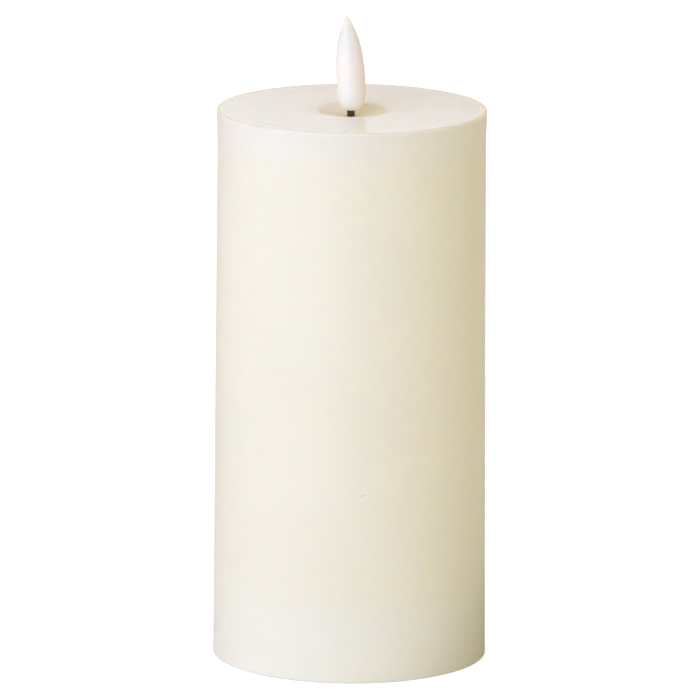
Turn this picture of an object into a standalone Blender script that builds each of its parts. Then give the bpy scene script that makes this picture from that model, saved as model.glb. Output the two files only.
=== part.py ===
"""Flameless LED pillar candle, as an assembly of separate pieces.

A hollow wax shell carries a flame-shaped lamp on a short wick in the dish of its top. A round base
unit in the shell's foot holds two AA cells, the circuit board and the slide switch, behind a battery
door that hooks in at one end and snaps in at the other. Two wires run up the hollow to the lamp.

The origin is the middle of the foot, on the surface that the candle stands on, with +Z up. The
candle's front faces -Y. The switch slides along X, and the door swings about an axis along Y.
"""

import math

import bmesh
import bpy
from mathutils import Matrix, Vector

MM = 0.001
GAP = 0.3 * MM  # between pieces that touch on the real object
TINY = 0.001 * MM

# Wax shell, from the nominal size of a 3 by 6 inch pillar candle
BODY_HEIGHT = 152 * MM
FOOT_RADIUS = 37.5 * MM
NECK_RADIUS = 36.5 * MM
RIM_RADIUS = 36.9 * MM
RIM_FLARE_HEIGHT = 8 * MM
FOOT_FILLET = 0.8 * MM
RIM_FILLET = 0.6 * MM
TOP_SLAB = 8 * MM
BORE_RADIUS = 33.4 * MM  # where the base unit sits
STOP_HEIGHT = 23.1 * MM  # shoulder above the base unit
HOLLOW_RADIUS = 32.4 * MM
HOLLOW_TOP_RADIUS = 31.7 * MM
TOP_SAG = 0.3 * MM  # how far the cast top has sunk at the dish
DISH_RADIUS = 11.2 * MM
DISH_DEPTH = 1.8 * MM  # below the sunk top
DISH_FLOOR = BODY_HEIGHT - TOP_SAG - DISH_DEPTH

# Flame lamp and wick
FLAME_FOOT = BODY_HEIGHT - 0.55 * MM
FLAME_HEIGHT = 26.3 * MM
FLAME_RADIUS = 3.9 * MM
FLAME_WIDEST = 6.1 * MM  # above the flame's lowest point
FLAME_LEAN = -1.55 * MM  # how far the tip stands off the wick's axis
FLAME_BEND = 0.3  # share of the height over which the lean sets in
FLAME_WALL = 1.1 * MM
FLAME_TOP_POWER = 3.2
FLAME_FOOT_POWER = 2.8
WICK_RADIUS = 1.05 * MM
WICK_BORE = 0.7 * MM
HOLDER_RADIUS = 4.0 * MM
HOLDER_FLANGE = 7.0 * MM

# Base unit
UNIT_RADIUS = 33.0 * MM
UNIT_WALL = 1.5 * MM
UNIT_BOTTOM = 0.8 * MM
FLOOR_TOP = 3.4 * MM
UNIT_TOP = 21.0 * MM
COVER_THICKNESS = 1.5 * MM
SCREW_POSTS = [Vector((x * MM, y * MM, 0)) for x in (-23, 23) for y in (-19.5, 19.5)]
BOARD_POSTS = [Vector((x * MM, 24 * MM, 0)) for x in (-14.5, 14.5)]
POST_RADIUS = 2.6 * MM
PILOT_RADIUS = 1.2 * MM

# Battery bay, for two AA cells side by side along X
CELL_RADIUS = 7.1 * MM
CELL_LENGTH = 50.5 * MM
NUB_RADIUS = 2.75 * MM
NUB_LENGTH = 1.0 * MM
CELL_PITCH = 14.8 * MM
CELL_HEIGHT = 11.1 * MM
BAY_LENGTH = 55.2 * MM
BAY_WIDTH = 30.4 * MM
BAY_CORNER = 3.0 * MM
BAY_WALL = 1.2 * MM
BAY_TOP = 18.5 * MM
OPENING_HALF = Vector((26.4 * MM, 14.9 * MM))
CONTACT_THICKNESS = 0.4 * MM

# Battery door
REBATE_LENGTH = 56 * MM
REBATE_WIDTH = 33 * MM
REBATE_TOP = 2.3 * MM
DOOR_THICKNESS = 1.2 * MM
HINGE_X = -REBATE_LENGTH / 2
HOOK_FROM = 3 * MM
HOOK_TO = 8 * MM
LATCH_HALF_WIDTH = 3.5 * MM
LATCH_TOP = 4.9 * MM
FINGER_NOTCH = 4.2 * MM

# Circuit board and switch
BOARD_BOTTOM = 12.2 * MM
BOARD_THICKNESS = 1.6 * MM
BOARD_TOP = BOARD_BOTTOM + BOARD_THICKNESS
BOARD_HALF_LENGTH = 17.5 * MM
BOARD_FRONT = 17.2 * MM
BOARD_BACK = 29.5 * MM
BOARD_ROUND = 30.8 * MM
SWITCH_Y = 23.5 * MM
SWITCH_TRAVEL = 2 * MM
SOCKET_AT = Vector((8.5 * MM, 20.5 * MM))
RECEIVER_AT = Vector((-6 * MM, 26.5 * MM))
WIRE_RADIUS = 0.6 * MM
THIN_WIRE_RADIUS = 0.5 * MM
LEAD_RADIUS = 0.22 * MM

# Colour, roughness and metallic value of each material
FINISHES = {
    "ivory_wax": ((0.93, 0.90, 0.82), 0.45, 0.0),
    "flame_plastic": ((0.95, 0.93, 0.91), 0.40, 0.0),
    "wick_sleeve": ((0.07, 0.05, 0.04), 0.70, 0.0),
    "ivory_plastic": ((0.86, 0.83, 0.74), 0.50, 0.0),
    "black_plastic": ((0.03, 0.03, 0.03), 0.45, 0.0),
    "clear_resin": ((0.95, 0.85, 0.60), 0.15, 0.0),
    "bright_metal": ((0.75, 0.75, 0.74), 0.30, 1.0),
    "board_green": ((0.05, 0.25, 0.12), 0.45, 0.0),
    "cell_jacket": ((0.12, 0.13, 0.15), 0.35, 0.3),
    "red_insulation": ((0.60, 0.05, 0.04), 0.45, 0.0),
    "black_insulation": ((0.03, 0.03, 0.03), 0.45, 0.0),
}


def clear_scene():
    for obj in list(bpy.data.objects):
        bpy.data.objects.remove(obj)


def finish_of(name):
    """The material of that name, made the first time it is asked for."""
    made = bpy.data.materials.get(name)
    if made is None:
        colour, roughness, metallic = FINISHES[name]
        made = bpy.data.materials.new(name)
        made.use_nodes = True
        shader = made.node_tree.nodes["Principled BSDF"]
        shader.inputs["Base Color"].default_value = (*colour, 1)
        shader.inputs["Roughness"].default_value = roughness
        shader.inputs["Metallic"].default_value = metallic
    return made


def add_object(name, data, finish):
    obj = bpy.data.objects.new(name, data)
    bpy.context.scene.collection.objects.link(obj)
    if finish:
        data.materials.append(finish_of(finish))
    return obj


def from_bmesh(name, shape, finish):
    bmesh.ops.recalc_face_normals(shape, faces=shape.faces)
    mesh = bpy.data.meshes.new(name)
    shape.to_mesh(mesh)
    shape.free()
    obj = add_object(name, mesh, finish)
    mesh.shade_smooth()
    mesh.set_sharp_from_angle(angle=math.radians(35))
    return obj


def move_origin(obj, point):
    """Puts the object's origin at a point, with its shape left where it is."""
    obj.data.transform(Matrix.Translation(-Vector(point)))
    obj.location = point
    return obj


def helper(obj):
    obj.hide_render = True
    obj.display_type = "WIRE"
    return obj


def combine(target, other, operation):
    modifier = target.modifiers.new(other.name, "BOOLEAN")
    modifier.operation = operation
    modifier.solver = "EXACT"
    modifier.object = helper(other)
    return target


def cut(target, *cutters):
    for cutter in cutters:
        combine(target, cutter, "DIFFERENCE")
    return target


def join(target, *others):
    for other in others:
        combine(target, other, "UNION")
    return target


def arc(centre, radius, start, end, steps):
    """Points of an arc from one angle to another, in degrees."""
    turn = (math.radians(start + (end - start) * i / steps) for i in range(steps + 1))
    return [(centre[0] + radius * math.cos(a), centre[1] + radius * math.sin(a)) for a in turn]


def turned(name, profile, finish, segments=48, ring=False):
    """A solid of revolution about Z. A profile that isn't a ring starts and ends on the axis."""
    shape = bmesh.new()
    corners = [shape.verts.new((r, 0, z)) for r, z in profile]
    pairs = list(zip(corners, corners[1:]))
    if ring:
        pairs.append((corners[-1], corners[0]))
    edges = [shape.edges.new(pair) for pair in pairs]
    bmesh.ops.spin(
        shape,
        geom=corners + edges,
        cent=(0, 0, 0),
        axis=(0, 0, 1),
        angle=2 * math.pi,
        steps=segments,
        use_merge=True,
    )
    bmesh.ops.remove_doubles(shape, verts=shape.verts, dist=TINY)
    return from_bmesh(name, shape, finish)


def prism(name, outline, low, high, finish=None, axis="Z"):
    """An outline extruded from low to high along an axis. Across Y, the outline is in X and Z."""
    shape = bmesh.new()
    if axis == "Z":
        corners = [shape.verts.new((a, b, low)) for a, b in outline]
        step = Vector((0, 0, high - low))
    else:
        corners = [shape.verts.new((a, low, b)) for a, b in outline]
        step = Vector((0, high - low, 0))
    face = shape.faces.new(corners)
    made = bmesh.ops.extrude_face_region(shape, geom=[face])
    moved = [item for item in made["geom"] if isinstance(item, bmesh.types.BMVert)]
    bmesh.ops.translate(shape, vec=step, verts=moved)
    return from_bmesh(name, shape, finish)


def box(name, low, high, finish=None):
    (x0, y0, z0), (x1, y1, z1) = low, high
    return prism(name, [(x0, y0), (x1, y0), (x1, y1), (x0, y1)], z0, z1, finish)


def block(name, centre, half, low, high, finish=None):
    """A box by its centre and half sizes in X and Y, and its lowest and highest Z."""
    x, y = centre
    return box(name, (x - half[0], y - half[1], low), (x + half[0], y + half[1], high), finish)


def round_block(name, length, width, radius, low, high, finish=None):
    """A prism over a rectangle with round corners, centred on the axis."""
    x, y = length / 2 - radius, width / 2 - radius
    outline = []
    for quarter, centre in enumerate([(x, y), (-x, y), (-x, -y), (x, -y)]):
        outline += arc(centre, radius, 90 * quarter, 90 * quarter + 90, 5)
    return prism(name, outline, low, high, finish)


def post(name, centre, radius, low, high, finish=None, segments=20):
    outline = arc(centre[:2], radius, 0, 360, segments)[:-1]
    return prism(name, outline, low, high, finish)


def tube(name, centre, outer, inner, low, high, finish, segments=16):
    """A short tube about a vertical axis through centre."""
    profile = [(inner, low), (outer, low), (outer, high), (inner, high)]
    obj = turned(name, profile, finish, segments, ring=True)
    obj.location = (*centre, 0)
    return obj


def smooth_route(route, spacing):
    """Evenly spaced points of a Catmull-Rom curve through the points of the route."""
    ends = [2 * route[0] - route[1], *route, 2 * route[-1] - route[-2]]
    fine = []
    for a, b, c, d in zip(ends, ends[1:], ends[2:], ends[3:]):
        for i in range(20):
            t = i / 20
            bend = (2 * a - 5 * b + 4 * c - d) * t**2 + (3 * b - a - 3 * c + d) * t**3
            fine.append((2 * b + (c - a) * t + bend) / 2)
    fine.append(route[-1])
    length = sum((q - p).length for p, q in zip(fine, fine[1:]))
    count = max(2, round(length / spacing))
    points, walked, step = [fine[0]], 0.0, length / count
    for p, q in zip(fine, fine[1:]):
        while len(points) < count and walked + (q - p).length >= len(points) * step:
            points.append(p.lerp(q, (len(points) * step - walked) / (q - p).length))
        walked += (q - p).length
    return [*points, route[-1]]


def wire(name, points, radius, finish, resolution=2):
    """A round wire with closed ends along a list of points."""
    curve = bpy.data.curves.new(name, "CURVE")
    curve.dimensions = "3D"
    curve.bevel_depth = radius
    curve.bevel_resolution = resolution
    curve.use_fill_caps = True
    spline = curve.splines.new("POLY")
    spline.points.add(len(points) - 1)
    for place, point in zip(spline.points, points):
        place.co = (*point, 1)
    return add_object(name, curve, finish)


def in_mm(*points):
    return [Vector(p) * MM for p in points]


def dish_height(share):
    """Height of the dish, with no edge at its rim, at a share of its radius."""
    return DISH_FLOOR + DISH_DEPTH * (1 - (1 - share**2) ** 1.5)


def wax_shell():
    """The cast candle body: hollow from below, with a slab on top that the dish and wick hole cut."""
    slab_bottom = BODY_HEIGHT - TOP_SLAB
    foot = (FOOT_RADIUS - FOOT_FILLET, FOOT_FILLET)
    rim = (RIM_RADIUS - RIM_FILLET, BODY_HEIGHT - RIM_FILLET)
    hollow = (HOLLOW_TOP_RADIUS - 3 * MM, slab_bottom - 3 * MM)
    profile = [(BORE_RADIUS, 0.4 * MM), (BORE_RADIUS + 0.4 * MM, 0)]
    profile += arc(foot, FOOT_FILLET, -90, 0, 3)
    profile += [(NECK_RADIUS, BODY_HEIGHT - RIM_FLARE_HEIGHT)]
    profile += arc(rim, RIM_FILLET, 0, 90, 3)
    profile += [(share * DISH_RADIUS, dish_height(share)) for share in (1, 0.88, 0.72, 0.5, 0.3)]
    profile += [(WICK_RADIUS + GAP, DISH_FLOOR), (WICK_RADIUS + GAP, DISH_FLOOR - 2 * MM)]
    profile += [(HOLDER_RADIUS + GAP, DISH_FLOOR - 2 * MM), (HOLDER_RADIUS + GAP, slab_bottom)]
    profile += arc(hollow, 3 * MM, 90, 0, 3)
    profile += [(HOLLOW_RADIUS, STOP_HEIGHT), (BORE_RADIUS, STOP_HEIGHT)]
    return turned("wax_shell", profile, "ivory_wax", 48, ring=True)


def flame_radius(height):
    """The lamp's outer radius at a height above its lowest point."""
    if height < FLAME_WIDEST:
        share = 1 - height / FLAME_WIDEST
        return FLAME_RADIUS * (1 - share**FLAME_FOOT_POWER) ** (1 / FLAME_FOOT_POWER)
    share = (height - FLAME_WIDEST) / (FLAME_HEIGHT - FLAME_WIDEST)
    return FLAME_RADIUS * (1 - share**FLAME_TOP_POWER)


def flame_lean(height):
    """How far the lamp's middle stands off the wick's axis: upright at the foot, then a steady lean."""
    share = min(1, max(0, height / FLAME_HEIGHT))
    return FLAME_LEAN * share**2 * (1 + FLAME_BEND) / (share + FLAME_BEND)


def flame_diffuser():
    """The translucent flame, a thin shell open at its foot for the wick."""
    foot_hole = WICK_RADIUS + GAP
    heights = [FLAME_HEIGHT * (1 - math.cos(math.pi * i / 18)) / 2 for i in range(19)]
    outside = [(flame_radius(h), h) for h in heights if flame_radius(h) > foot_hole or h > FLAME_WIDEST]
    outside[-1] = (0, FLAME_HEIGHT)
    roof = FLAME_HEIGHT - 5 * MM
    inside = [(max(flame_radius(h) - FLAME_WALL, 0), h) for h in heights if 1.5 * MM < h < roof]
    profile = [(0, roof), *reversed(inside), (foot_hole, 1.2 * MM), (foot_hole, 0.15 * MM), *outside]
    obj = turned("flame_diffuser", profile, "flame_plastic", 24)
    for corner in obj.data.vertices:
        corner.co.x += flame_lean(corner.co.z)
    obj.location.z = FLAME_FOOT
    return obj


def flame_lamp():
    """The small LED inside the flame, its two legs, and the sleeve that looks like a burnt wick."""
    foot, top, radius = BODY_HEIGHT + 3 * MM, BODY_HEIGHT + 6.6 * MM, 1.4 * MM
    profile = [(0, foot), (1.6 * MM, foot), (1.6 * MM, foot + 0.6 * MM), (radius, foot + 0.6 * MM)]
    profile += arc((0, top - radius), radius, 0, 90, 5)[:-1]
    turned("flame_led", [*profile, (0, top)], "clear_resin", 20)
    low, high = BODY_HEIGHT - 5.2 * MM, BODY_HEIGHT + 2.6 * MM
    tube("wick_sleeve", (0, 0), WICK_RADIUS, WICK_BORE, low, high, "wick_sleeve", 20)
    for side, word in ((1, "positive"), (-1, "negative")):
        route = in_mm((0.38 * side, 0, 154.7), (0.38 * side, 0, 147), (0.38 * side, 0, 140.4))
        route += in_mm((1.15 * side, 0, 137.6), (1.6 * side, 0, 135.2), (1.6 * side, 0, 132.6))
        wire(f"led_leg_{word}", smooth_route(route, 1.4 * MM), LEAD_RADIUS, "bright_metal", 1)
        tube(f"splice_sleeve_{word}", (1.6 * side * MM, 0), 1.2 * MM, 0.9 * MM,
             129.2 * MM, 135.2 * MM, "black_insulation", 14)


def wick_holder():
    """The flanged bush under the wax top that holds the wick sleeve upright."""
    flange_top = BODY_HEIGHT - TOP_SLAB - GAP
    top = DISH_FLOOR - 2 * MM - GAP
    bore = WICK_RADIUS + GAP
    profile = [(bore, flange_top - 3.6 * MM), (2.5 * MM, flange_top - 3.6 * MM)]
    profile += [(2.9 * MM, flange_top - 1.6 * MM), (HOLDER_FLANGE, flange_top - 1.6 * MM)]
    profile += [(HOLDER_FLANGE, flange_top), (HOLDER_RADIUS, flange_top), (HOLDER_RADIUS, top)]
    return turned("wick_holder", [*profile, (bore, top)], "ivory_plastic", 28, ring=True)


def hook_blocks(name, low, high, wider):
    """Two boxes at the hinge end, one each side of the middle, in X and Z as given."""
    return [
        box(f"{name}_{word}",
            (low[0], side * HOOK_FROM - wider if side > 0 else -HOOK_TO - wider, low[1]),
            (high[0], side * HOOK_TO + wider if side > 0 else -HOOK_FROM + wider, high[1]))
        for side, word in ((1, "back"), (-1, "front"))
    ]


def base_housing():
    """The round cup of the base unit, with the battery bay, screw posts, and openings in its floor."""
    inner = UNIT_RADIUS - UNIT_WALL
    profile = [(0, UNIT_BOTTOM), (UNIT_RADIUS - 0.5 * MM, UNIT_BOTTOM)]
    profile += [(UNIT_RADIUS, UNIT_BOTTOM + 0.5 * MM), (UNIT_RADIUS, UNIT_TOP), (inner, UNIT_TOP)]
    housing = turned("base_housing", [*profile, (inner, FLOOR_TOP), (0, FLOOR_TOP)], "ivory_plastic", 48)
    sink = 0.5 * MM
    wall = 2 * BAY_WALL
    join(housing, round_block("bay_walls", BAY_LENGTH + wall, BAY_WIDTH + wall, BAY_CORNER + BAY_WALL,
                              FLOOR_TOP - sink, BAY_TOP + BAY_WALL))
    for i, place in enumerate(SCREW_POSTS):
        join(housing, post(f"cover_post_{i}", place, POST_RADIUS, FLOOR_TOP - sink, UNIT_TOP - 0.1 * MM))
        cut(housing, post(f"cover_pilot_{i}", place, PILOT_RADIUS, UNIT_TOP - 8 * MM, UNIT_TOP + 1 * MM))
    for i, place in enumerate(BOARD_POSTS):
        high = BOARD_BOTTOM - GAP
        join(housing, post(f"board_post_{i}", place, POST_RADIUS, FLOOR_TOP - sink, high))
        cut(housing, post(f"board_pilot_{i}", place, PILOT_RADIUS, high - 6.5 * MM, high + 1 * MM))
    below = -1 * MM
    cut(
        housing,
        round_block("bay_inside", BAY_LENGTH, BAY_WIDTH, BAY_CORNER, FLOOR_TOP, BAY_TOP),
        block("bay_opening", (0, 0), OPENING_HALF, below, FLOOR_TOP + 1 * MM),
        round_block("door_rebate", REBATE_LENGTH, REBATE_WIDTH, 3.3 * MM, below, REBATE_TOP),
        post("finger_notch", (REBATE_LENGTH / 2 - 0.8 * MM, 0), FINGER_NOTCH, below, REBATE_TOP, segments=24),
        block("switch_scoop", (0, SWITCH_Y), (7 * MM, 3.6 * MM), below, 1.8 * MM),
        block("switch_slot", (0, SWITCH_Y), (1.5 * MM + SWITCH_TRAVEL + GAP, 1.5 * MM), 0, 4.4 * MM),
        *hook_blocks("hook_pocket", (HINGE_X - 1.6 * MM, 1.4 * MM), (-26.9 * MM, 3.0 * MM), GAP),
        *hook_blocks("hook_notch", (HINGE_X, 1.4 * MM), (-26 * MM, 3.9 * MM), GAP),
        *[block(f"tab_slot_{i}", (-26.95 * MM, y), (0.65 * MM, 2.4 * MM), 17 * MM, UNIT_TOP)
          for i, y in enumerate((-CELL_PITCH / 2, CELL_PITCH / 2))],
    )
    return housing


def base_cover():
    """The lid of the base unit, with holes for the wires, the receiver's legs and its screws."""
    low = UNIT_TOP + GAP
    high = low + COVER_THICKNESS
    cover = turned("base_cover", [(0, low), (UNIT_RADIUS, low), (UNIT_RADIUS, high - 0.3 * MM),
                                  (UNIT_RADIUS - 0.3 * MM, high), (0, high)], "ivory_plastic", 48)
    for i, place in enumerate(SCREW_POSTS):
        cut(cover, post(f"cover_hole_{i}", place, PILOT_RADIUS, low - 1 * MM, high + 1 * MM))
    return cut(
        cover,
        post("wire_hole", SOCKET_AT, 3.2 * MM, low - 1 * MM, high + 1 * MM),
        block("receiver_slot", RECEIVER_AT, (3.4 * MM, 1 * MM), low - 1 * MM, high + 1 * MM),
    )


def screw_mesh():
    """A pan-head screw with a cross recess. Its origin is under the head."""
    profile = [(0, -6.6 * MM), (0.5 * MM, -6.2 * MM), (0.9 * MM, -5.4 * MM), (0.9 * MM, 0)]
    profile += [(2 * MM, 0), (2 * MM, 0.5 * MM), (1.5 * MM, 1.1 * MM), (0, 1.25 * MM)]
    blank = turned("screw_blank", profile, "bright_metal", 16)
    deep, high = 0.6 * MM, 2 * MM
    for name, half in (("recess_x", (1.1 * MM, 0.22 * MM)), ("recess_y", (0.22 * MM, 1.1 * MM))):
        cut(blank, block(name, (0, 0), half, deep, high))
    bpy.context.view_layer.update()
    graph = bpy.context.evaluated_depsgraph_get()
    mesh = bpy.data.meshes.new_from_object(blank.evaluated_get(graph))
    bpy.data.objects.remove(blank)
    mesh.name = "pan_head_screw"
    return mesh


def screws():
    mesh = screw_mesh()
    seats = [("cover_screw", SCREW_POSTS, UNIT_TOP + GAP + COVER_THICKNESS + GAP)]
    seats.append(("board_screw", BOARD_POSTS, BOARD_TOP + GAP))
    for word, places, height in seats:
        for i, place in enumerate(places):
            obj = add_object(f"{word}_{i + 1}", mesh, None)
            obj.location = place + Vector((0, 0, height))


def battery_door():
    """The door in the floor: hooks at the hinge end, ribs under the cells, a bent snap at the other."""
    low, high = UNIT_BOTTOM, UNIT_BOTTOM + DOOR_THICKNESS
    root = high - 0.3 * MM
    door = round_block("battery_door", REBATE_LENGTH - 2 * GAP, REBATE_WIDTH - 2 * GAP, 3 * MM,
                       low, high, "ivory_plastic")
    inner, outer, leg = 23.4 * MM, 26.0 * MM, 0.75 * MM
    side = LATCH_HALF_WIDTH + 0.5 * MM
    cut(door, box("latch_gap", (inner + leg, -side, 0), (REBATE_LENGTH, side, 3 * MM)))
    snap = [(inner, root), (inner + leg, root), (inner + leg, LATCH_TOP - leg)]
    snap += [(outer - leg, LATCH_TOP - leg), (outer - leg, low), (28.8 * MM, low)]
    snap += [(28.8 * MM, low + 0.8 * MM), (outer, low + 0.8 * MM), (outer, 3.6 * MM)]
    snap += [(outer + 0.2 * MM, 3.8 * MM), (outer, 4.3 * MM), (outer - 0.4 * MM, LATCH_TOP)]
    snap += [(inner + 0.4 * MM, LATCH_TOP), (inner, LATCH_TOP - 0.4 * MM)]
    join(door, prism("snap", snap, -LATCH_HALF_WIDTH, LATCH_HALF_WIDTH, axis="Y"))
    join(door, *hook_blocks("hook", (HINGE_X - 1.2 * MM, 1.7 * MM), (-26.5 * MM, 2.4 * MM), 0))
    for i, x in enumerate((-12 * MM, 12 * MM)):
        join(door, block(f"cell_rib_{i}", (x, 0), (0.6 * MM, 13 * MM), root, CELL_HEIGHT - CELL_RADIUS - GAP))
    return move_origin(door, (HINGE_X, 0, UNIT_BOTTOM))


def cells():
    """Two AA cells along X, side by side and head to tail."""
    half = CELL_LENGTH / 2
    shoulder = half - NUB_LENGTH
    profile = [(0, -half), (4.6 * MM, -half), (4.6 * MM, -half + 0.3 * MM), (6.5 * MM, -half + 0.3 * MM)]
    profile += [(CELL_RADIUS, -half + 0.9 * MM), (CELL_RADIUS, shoulder - 0.6 * MM)]
    profile += [(6.5 * MM, shoulder), (NUB_RADIUS, shoulder), (NUB_RADIUS, half - 0.2 * MM)]
    profile += [(NUB_RADIUS - 0.2 * MM, half), (0, half)]
    nub_end = BAY_LENGTH / 2 - 2 * GAP - CONTACT_THICKNESS
    for word, way in (("front", 1), ("back", -1)):
        cell = turned(f"aa_cell_{word}", profile, "cell_jacket", 28)
        cell.rotation_euler = (0, way * math.pi / 2, 0)
        cell.location = (way * (nub_end - half), -way * CELL_PITCH / 2, CELL_HEIGHT)


def contact_plate(name, end, centre_y, half_width, tab):
    """A thin plate against the end wall of the bay, with a solder tab through its roof if asked."""
    x = end * (BAY_LENGTH / 2 - GAP - CONTACT_THICKNESS / 2)
    half = CONTACT_THICKNESS / 2
    plate = block(name, (x, centre_y), (half, half_width), 4.6 * MM, 16.6 * MM, "bright_metal")
    if tab:
        join(plate, block(f"{name}_tab", (x, centre_y), (half, 2 * MM), 16 * MM, 20.9 * MM))
    return plate


def contact_spring(name, end, centre_y):
    """A conical coil spring between a contact plate and a cell's flat end."""
    turns, steps, coil_wire = 2.75, 14, 0.25 * MM
    wide, narrow = 4.3 * MM, 1.8 * MM
    plate_face = BAY_LENGTH / 2 - GAP - CONTACT_THICKNESS
    cell_face = BAY_LENGTH / 2 - 2 * GAP - CONTACT_THICKNESS - CELL_LENGTH
    start, stop = plate_face - GAP - coil_wire, -cell_face + GAP + coil_wire
    points = []
    for i in range(round(turns * steps) + 1):
        share = i / (turns * steps)
        radius = wide + (narrow - wide) * share
        angle = 2 * math.pi * turns * share
        x = end * (start + (stop - start) * share)
        points.append(Vector((x, centre_y + radius * math.cos(angle), CELL_HEIGHT + radius * math.sin(angle))))
    return wire(name, points, coil_wire, "bright_metal", 1)


def contacts():
    """Plates and springs: one pair with tabs at the door's hinge end, one bridge at the other end."""
    pitch = CELL_PITCH / 2
    contact_plate("negative_plate", -1, -pitch, 4.8 * MM, tab=True)
    contact_plate("positive_plate", -1, pitch, 4.8 * MM, tab=True)
    contact_plate("bridge_plate", 1, 0, 12 * MM, tab=False)
    contact_spring("negative_spring", -1, -pitch)
    contact_spring("bridge_spring", 1, pitch)


def circuit_board():
    """The board behind the battery bay: a segment of a circle with its ends cut square."""
    start = math.degrees(math.acos(BOARD_HALF_LENGTH / BOARD_ROUND))
    shoulder = math.degrees(math.asin(BOARD_BACK / BOARD_ROUND))
    outline = [(BOARD_HALF_LENGTH, BOARD_FRONT)]
    outline += arc((0, 0), BOARD_ROUND, start, shoulder, 4)
    outline += arc((0, 0), BOARD_ROUND, 180 - shoulder, 180 - start, 4)
    outline += [(-BOARD_HALF_LENGTH, BOARD_FRONT)]
    board = prism("circuit_board", outline, BOARD_BOTTOM, BOARD_TOP, "board_green")
    for i, place in enumerate(BOARD_POSTS):
        cut(board, post(f"board_hole_{i}", place, PILOT_RADIUS, BOARD_BOTTOM - MM, BOARD_TOP + MM))
    return board


def controller_chip():
    """An eight-leg chip, four bent legs to a side."""
    low = BOARD_TOP + GAP
    at = Vector((-4 * MM, 21 * MM))
    chip = block("controller_chip", at, (2.5 * MM, 1.95 * MM), low + 0.1 * MM, low + 1.5 * MM, "black_plastic")
    for i in range(4):
        x = at.x + (i - 1.5) * 1.27 * MM
        for word, side in (("front", -1), ("back", 1)):
            knee, toe = at.y + side * 2.3 * MM, at.y + side * 3.0 * MM
            root = at.y + side * 1.8 * MM
            leg = [(root, low + 0.9 * MM), (root, low + 0.7 * MM), (knee, low + 0.7 * MM), (knee, low)]
            leg += [(toe, low), (toe, low + 0.2 * MM), (knee + side * 0.2 * MM, low + 0.2 * MM)]
            leg += [(knee + side * 0.2 * MM, low + 0.9 * MM)]
            join(chip, leg_prism(f"chip_leg_{word}_{i}", leg, x))
    return chip


def leg_prism(name, outline, x):
    """A chip leg: an outline in Y and Z, 0.4 mm wide in X."""
    shape = bmesh.new()
    corners = [shape.verts.new((x - 0.2 * MM, y, z)) for y, z in outline]
    face = shape.faces.new(corners)
    made = bmesh.ops.extrude_face_region(shape, geom=[face])
    moved = [item for item in made["geom"] if isinstance(item, bmesh.types.BMVert)]
    bmesh.ops.translate(shape, vec=(0.4 * MM, 0, 0), verts=moved)
    return from_bmesh(name, shape, None)


def board_parts():
    """The other pieces on the board, above it unless named otherwise."""
    low = BOARD_TOP + GAP
    can = [(0, 0), (2 * MM, 0), (2 * MM, 0.9 * MM), (1.85 * MM, 1.1 * MM), (2 * MM, 1.3 * MM)]
    can += [(2 * MM, 5 * MM), (1.8 * MM, 5.2 * MM), (0, 5.2 * MM)]
    turned("smoothing_capacitor", can, "black_plastic", 20).location = (4 * MM, 26.6 * MM, low)
    crystal = turned("timer_crystal", [(0, 0), (1 * MM, 0), (1 * MM, 5.6 * MM), (0.7 * MM, 6 * MM),
                                       (0, 6 * MM)], "bright_metal", 16)
    crystal.rotation_euler = (0, math.pi / 2, 0)
    crystal.location = (-15 * MM, 20.6 * MM, low + 1 * MM)
    ends, waist = 0.85 * MM, 0.65 * MM
    shape = [(0, 0), (ends, 0.2 * MM), (ends, 0.9 * MM), (waist, 1.2 * MM)]
    shape += [(waist, 2.4 * MM), (ends, 2.7 * MM), (ends, 3.4 * MM), (0, 3.6 * MM)]
    resistor = turned("series_resistor", shape, "ivory_plastic", 16)
    resistor.rotation_euler = (math.radians(-90), 0, 0)
    resistor.location = (15 * MM, 17.8 * MM, low + ends)


def ir_receiver():
    """The remote-control receiver: three legs up through the cover, and a body with a round lens."""
    low = BOARD_TOP + GAP
    body_low = UNIT_TOP + COVER_THICKNESS + 2 * MM
    x, y = RECEIVER_AT
    body = block("ir_receiver", (x, y), (3.2 * MM, 1.8 * MM), body_low, body_low + 6.4 * MM, "black_plastic")
    lens = turned("receiver_lens", [(0, -1 * MM), (2.3 * MM, -1 * MM), *arc((0, 0), 2.3 * MM, 0, 90, 5)[:-1],
                                    (0, 2.3 * MM)], None, 20)
    lens.rotation_euler = (math.radians(90), 0, 0)
    lens.location = (x, y - 1.6 * MM, body_low + 3.6 * MM)
    join(body, lens)
    for i in range(3):
        centre = (x + (i - 1) * 2.54 * MM, y)
        join(body, block(f"receiver_leg_{i}", centre, (0.25 * MM, 0.25 * MM), low, body_low + 0.5 * MM))
    return body


def lead_connector():
    """The two-way socket on the board, and the plug that carries the lamp's wires into it."""
    low = BOARD_TOP + GAP
    socket = block("lead_socket", SOCKET_AT, (3.5 * MM, 2.3 * MM), low, low + 4.2 * MM, "ivory_plastic")
    cut(socket, block("socket_inside", SOCKET_AT, (2.9 * MM, 1.7 * MM), low + 0.8 * MM, low + 5 * MM))
    plug = block("lead_plug", SOCKET_AT, (2.6 * MM, 1.4 * MM), low + 1.1 * MM, low + 6.2 * MM, "ivory_plastic")
    key = block("plug_key", SOCKET_AT, (1.2 * MM, 1.9 * MM), low + 4.6 * MM, low + 5.8 * MM)
    return join(plug, key)


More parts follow.
